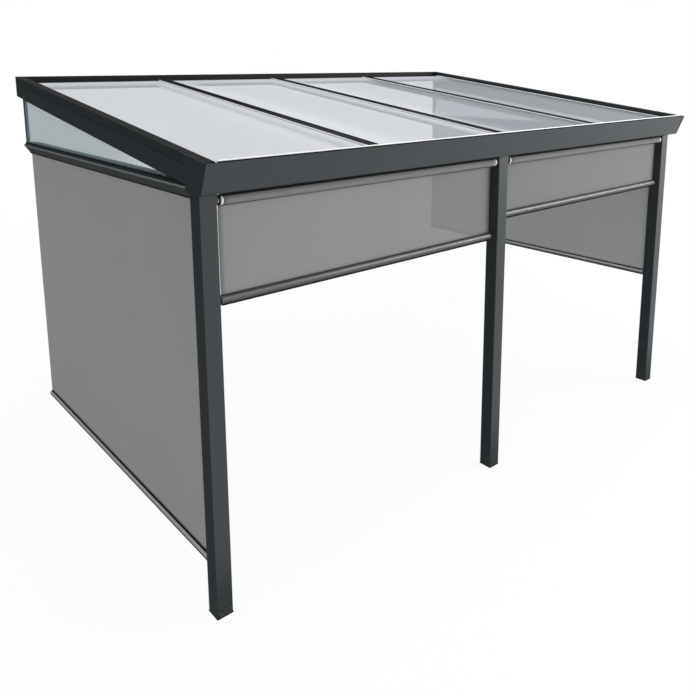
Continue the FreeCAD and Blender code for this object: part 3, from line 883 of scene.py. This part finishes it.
def fasten(name, head, spots, seed):
    """Steel heads at (point, direction) spots, as one plain mesh."""
    mesh = bpy.data.meshes.new(f"{name}_points")
    mesh.from_pydata([point for point, _ in spots], [], [])
    aims = mesh.attributes.new("aim", "FLOAT_VECTOR", "POINT")
    for k, (_, direction) in enumerate(spots):
        aims.data[k].vector = direction
    shape = place_object(f"{name}_points", mesh)
    settle(grow(shape, fasteners, {"Head": head, "Seed": seed, "Finish": screw_steel}), name)
    bpy.data.objects.remove(head)


# Heads as (radius, height) profiles: low domes with a socket, and hexagon heads on washers
pan_profile = [(0.0048, 0.0), (0.0048, 0.0009), (0.0040, 0.0022), (0.0024, 0.0028), (0.0023, 0.0010)]
anchor_profile = [(0.0105, 0.0), (0.0105, 0.0018), (0.0096, 0.0020), (0.0096, 0.0021), (0.0096, 0.0078),
                  (0.0084, 0.0085)]
anchor_places = (0.450, 1.150, 1.850)
wall_profile_depth = 0.025
rafter_screw_y = -0.040
rafter_screw_inset = 0.016
rafter_screw_drop = 0.136
post_screw_inset = 0.022
post_screw_height = 0.030


def anchor_spots():
    """Heads of the wall anchors, on the front of the wall profile's hollow web."""
    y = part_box("wall_profile")[1].y - wall_profile_depth
    return [((side * place, y, 0.0), (0, -1, 0)) for place in anchor_places for side in (-1, 1)]


def frame_screw_spots():
    """Two screws below each rafter's back end, facing down, and four in the back of each post."""
    down = tuple(-Vector((0, -roof_slope, 1)).normalized())
    z_under = roof_top(rafter_screw_y) - rafter_screw_drop
    spots = []
    for name in rafter_names:
        low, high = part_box(name)
        for x in (low.x + rafter_screw_inset, high.x - rafter_screw_inset):
            spots.append(((x, rafter_screw_y, z_under), down))
    for name in post_names:
        low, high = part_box(name)
        for x in (low.x + post_screw_inset, high.x - post_screw_inset):
            for z in (ground + post_screw_height, high.z - post_screw_height):
                spots.append(((x, post_back, z), (0, 1, 0)))
    return spots


fasten("wall_anchor_heads", turned_shape("anchor_head", anchor_profile, 6, screw_steel), anchor_spots(), 5)
fasten("frame_screws", turned_shape("pan_head", pan_profile, 12, screw_steel), frame_screw_spots(), 7)

# Plugs of the front rollers as (radius, height) profiles, and how far off the end each one starts
plug_sides = 32
flange_profile = [(0.0225, 0.0), (0.0235, 0.001), (0.0235, 0.0085), (0.0225, 0.0095)]
hub_profile = [(0.0150, 0.0), (0.0150, 0.0090), (0.0138, 0.0100), (0.0070, 0.0100), (0.0062, 0.0078)]
flange_start = 0.0003
hub_start = 0.0098


def roller_plug(label, hand, end, profile, start, material):
    """Turned plug at one end of a front roller, standing out from it."""
    low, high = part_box(f"front_roller_{hand}")
    middle = (low + high) / 2
    tip, turn = (low.x, 1) if end == "left_end" else (high.x, -1)
    shape = turned_shape(f"{label}_{hand}_{end}", profile, plug_sides, material)
    shape.data.transform(Matrix.Translation((tip - turn * start, middle.y, middle.z))
                         @ Matrix.Rotation(-turn * math.pi / 2, 4, "Y"))
    soften(shape, 40)
    settle(shape, f"roller_{label}_{hand}_{end}")


for hand in hands:
    for end in ("left_end", "right_end"):
        roller_plug("flange", hand, end, flange_profile, flange_start, black_nylon)
        roller_plug("hub", hand, end, hub_profile, hub_start, white_nylon)


def middle_plane(node, axis):
    low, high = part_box(node)
    return (low[axis] + high[axis]) / 2


def front_roller_strips():
    """Black strips that paint shade: a clamp strip on each cloth just under its front roller, for the dark
    line below the roll, and a strip in front of the roller's top, for the shaded gap under the gutter.
    """
    clamp_end_gap, clamp_shift, clamp_drop = 0.002, 0.0030, 0.004
    gap_shade_overhang, gap_shade_shift, gap_shade_drop = 0.015, 0.0034, 0.010
    clamp_shade_paths, gap_shade_paths = [], []
    for hand in hands:
        low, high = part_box(f"front_roller_{hand}")
        y = middle_plane(f"front_fabric_{hand}", 1) - clamp_shift
        clamp_shade_paths.append(along_x(low.x + clamp_end_gap, high.x - clamp_end_gap, y, low.z - clamp_drop))
        first_x, last_x = low.x - gap_shade_overhang, high.x + gap_shade_overhang
        gap_shade_paths.append(along_x(first_x, last_x, low.y - gap_shade_shift, gutter_low.z - gap_shade_drop))
    strips("cloth_clamp_strips", clamp_shade_paths, (0.0036, 0.0090), black_nylon)
    strips("roller_gap_brush", gap_shade_paths, (0.0060, 0.0200), seal_and_shade_rubber)


def rail_brushes():
    """Brush seals in the slots of the side rails, one on each side of the cloth."""
    brush_size = (0.0026, 0.0050)
    brush_seat = 0.0015
    end_gap = 0.002
    paths = []
    for hand in hands:
        cloth_x = middle_plane(f"side_fabric_{hand}", 0)
        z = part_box(f"side_rail_{hand}")[0].z + brush_seat
        for x in (cloth_x - brush_size[0], cloth_x + brush_size[0]):
            paths.append(along_y(x, post_back + end_gap, -end_gap, z))
    strips("rail_brush_seals", paths, brush_size, seal_and_shade_rubber)


bar_end_gap = 0.006


def bar_seals():
    """Bottom seal under each bar, which also paints the bar's shaded underside."""
    drop = 0.0025
    paths = []
    for hand in hands:
        low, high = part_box(f"front_bar_{hand}")
        paths.append(along_x(low.x + bar_end_gap, high.x - bar_end_gap, (low.y + high.y) / 2, low.z - drop))
    for hand in hands:
        low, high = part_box(f"side_bar_{hand}")
        paths.append(along_y((low.x + high.x) / 2, low.y + bar_end_gap, high.y - bar_end_gap, low.z - drop))
    strips("bar_bottom_seals", paths, (0.0180, 0.0085), seal_and_shade_rubber)


def side_bar_strips():
    """Side bars: black clamp strips on both sides of the cloth and a rubber edge low on each flank, which
    also paint the shaded top and bottom of the bar.
    """
    clamp_shift = 0.0048
    flank_shift = 0.0005
    flank_drop = 0.005
    clamp_shade_paths, flank_shade_paths = [], []
    for hand in hands:
        low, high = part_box(f"side_bar_{hand}")
        middle = (low + high) / 2
        first_y, last_y = low.y + bar_end_gap, high.y - bar_end_gap
        for x in (middle.x - clamp_shift, middle.x + clamp_shift):
            clamp_shade_paths.append(along_y(x, first_y, last_y, high.z))
        for x in (low.x - flank_shift, high.x + flank_shift):
            flank_shade_paths.append(along_y(x, first_y, last_y, middle.z - flank_drop))
    strips("bar_clamp_strips", clamp_shade_paths, (0.0060, 0.0110), seal_and_shade_rubber)
    strips("bar_flank_strips", flank_shade_paths, (0.0040, 0.0080), seal_and_shade_rubber)


def rail_trims():
    """Side rails: a bright strip along the brow as a painted highlight, and black joints above and below it,
    which also paint the shade along those edges.
    """
    end_gap = 0.004
    # Places on the rail's section, as (out from its outer face, down from its top)
    brow, upper_joint, lower_joint = (0.0008, 0.021), (-0.0095, -0.0012), (-0.0365, 0.0795)
    highlight_paths, joint_shade_paths = [], []
    for hand, side in zip(hands, (-1, 1)):
        low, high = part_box(f"side_rail_{hand}")
        outer = max(abs(low.x), abs(high.x))
        for paths, spot in ((highlight_paths, brow), (joint_shade_paths, upper_joint), (joint_shade_paths, lower_joint)):
            outward, drop = spot
            x = side * (outer + outward)
            paths.append(along_y(x, post_back + end_gap, -end_gap, high.z - drop))
    strips("rail_brow_strips", highlight_paths, (0.0040, 0.0120), rail_highlight_coat)
    strips("rail_joint_strips", joint_shade_paths, (0.0040, 0.0040), seal_and_shade_rubber)


def foot_seals():
    """Sealing bead round the foot of each post."""
    bead = (0.0024, 0.0026)
    gap, z = bead[0] / 2, ground + bead[1] / 2
    paths = []
    for name in post_names:
        low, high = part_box(name)
        x0, x1, y0, y1 = low.x - gap, high.x + gap, low.y - gap, high.y + gap
        paths.append([(x0, y0, z), (x1, y0, z), (x1, y1, z), (x0, y1, z), (x0, y0, z)])
    strips("foot_seals", paths, bead, seal_and_shade_rubber)


front_roller_strips()
rail_brushes()
bar_seals()
side_bar_strips()
rail_trims()
foot_seals()

# Stage: pale floor, white surroundings and soft lamps
floor_radius = 12.0
floor_sides = 96
# The floor to the camera: nearly white by the cover, and all white past the end of the fade
floor_fade = (4.0, 9.5)
floor_white_near = 0.92
# The floor in reflections: nearly white in front of the cover, and darker under it as painted shade
mirror_white = 0.97
mirror_front_y = (-3.1, -2.7)
mirror_painted_shade = 0.88


def pale_floor():
    turns = [2 * math.pi * k / floor_sides for k in range(floor_sides)]
    rim = [(floor_radius * math.cos(turn), floor_radius * math.sin(turn), ground) for turn in turns]
    material, b, shader, place = new_finish("pale_floor", Roughness=0.9, Specular_IOR_Level=0.1)
    floor = new_piece("floor", rim, [tuple(range(floor_sides))], material)
    tone = b.spread(b.noise(place, 3.0, 4.0), 0.3, 0.7, 0.86, 0.88)
    grey = b.node("ShaderNodeCombineColor", {0: tone, 1: tone, 2: tone}).outputs[0]
    b.feed(shader.inputs["Base Color"], grey)
    rays = b.node("ShaderNodeLightPath").outputs
    mirrored = rays["Is Glossy Ray"]
    seen = b.calc("MAXIMUM", mirrored, rays["Is Transmission Ray"])
    seen = b.calc("MAXIMUM", rays["Is Camera Ray"], seen)
    away = b.node("ShaderNodeVectorMath", {0: place}, operation="LENGTH").outputs["Value"]
    share = b.spread(away, *floor_fade, floor_white_near, 1.0)
    share = b.calc("MAXIMUM", share, b.times(mirrored, mirror_white))
    covered_shade = b.times(b.spread(b.parts(place)[1], *mirror_front_y), mirrored)
    glow = b.node("ShaderNodeEmission", {"Color": (1, 1, 1, 1),
                                         "Strength": b.minus(1.0, b.times(covered_shade, mirror_painted_shade))})
    mixed = b.node("ShaderNodeMixShader", {0: b.times(seen, share), 1: shader.outputs[0],
                                           2: glow.outputs[0]})
    b.feed(material.node_tree.nodes["Material Output"].inputs[0], mixed.outputs[0])


def surroundings():
    """White to the camera, darker overhead and by the house in reflections, and an even fill light."""
    house_dark = 0.92
    overhead_dark = 0.5
    right_bright = 1.45
    fill_level = 0.62
    world = bpy.data.worlds.new("studio")
    bpy.context.scene.world = world
    world.use_nodes = True
    b = Board(world.node_tree)
    rays = b.node("ShaderNodeLightPath").outputs
    mirrored = rays["Is Glossy Ray"]
    way = b.parts(b.node("ShaderNodeTexCoord").outputs["Generated"])
    house = b.times(b.spread(way[1], -0.10, 0.40), b.spread(way[2], 0.85, 0.45))
    overhead = b.spread(way[2], 0.25, 0.75)
    shade = b.minus(1.0, b.times(house, house_dark))
    shade = b.times(shade, b.minus(1.0, b.times(overhead, overhead_dark)))
    shade = b.times(shade, b.spread(way[0], 0.50, 0.85, 1.0, right_bright))
    white = b.calc("MAXIMUM", rays["Is Camera Ray"], rays["Is Transmission Ray"])
    shown = b.calc("MAXIMUM", white, b.times(mirrored, shade))
    fill = b.times(b.minus(1.0, b.calc("MAXIMUM", white, mirrored)), fill_level)
    background = world.node_tree.nodes["Background"]
    background.inputs["Color"].default_value = (1, 1, 1, 1)
    b.feed(background.inputs["Strength"], b.plus(shown, fill))


def soft_lamp(name, place, target, size, watts):
    data = bpy.data.lights.new(name, "AREA")
    data.shape = "DISK"
    data.size = size
    data.energy = watts
    lamp = place_object(name, data)
    lamp.location = place
    lamp.rotation_euler = (Vector(target) - Vector(place)).to_track_quat("-Z", "Y").to_euler()


pale_floor()
surroundings()
soft_lamp("key_lamp", place=(12.0, -11.5, 3.4), target=(0.5, -2.0, -0.8), size=7.0, watts=1750)
soft_lamp("top_lamp", place=(-1.0, -2.5, 8.5), target=(0, -1.8, 0), size=5.0, watts=500)


def photo_camera():
    """Camera of the photograph: its place, turn and lens, with the frame moved up by the shift."""
    place = Vector((-3.6525, -5.4770, 0.1094))
    yaw, pitch, roll = math.radians(39.740), math.radians(-10.184), math.radians(-0.392)
    ahead = Vector((math.sin(yaw) * math.cos(pitch), math.cos(yaw) * math.cos(pitch), math.sin(pitch)))
    level = Vector((math.cos(yaw), -math.sin(yaw), 0))
    above = level.cross(ahead)
    right = level * math.cos(roll) + above * math.sin(roll)
    top = above * math.cos(roll) - level * math.sin(roll)
    data = bpy.data.cameras.new("photo_camera")
    data.sensor_width = 36.0
    data.lens = 36.645
    data.shift_y = -0.2184
    data.clip_start, data.clip_end = 0.05, 300.0
    camera = place_object("photo_camera", data)
    turn = Matrix((right, top, -ahead)).transposed().to_4x4()
    camera.matrix_world = Matrix.Translation(place) @ turn
    bpy.context.scene.camera = camera


photo_camera()
bpy.context.scene.view_settings.view_transform = "Standard"

bpy.context.view_layer.update()
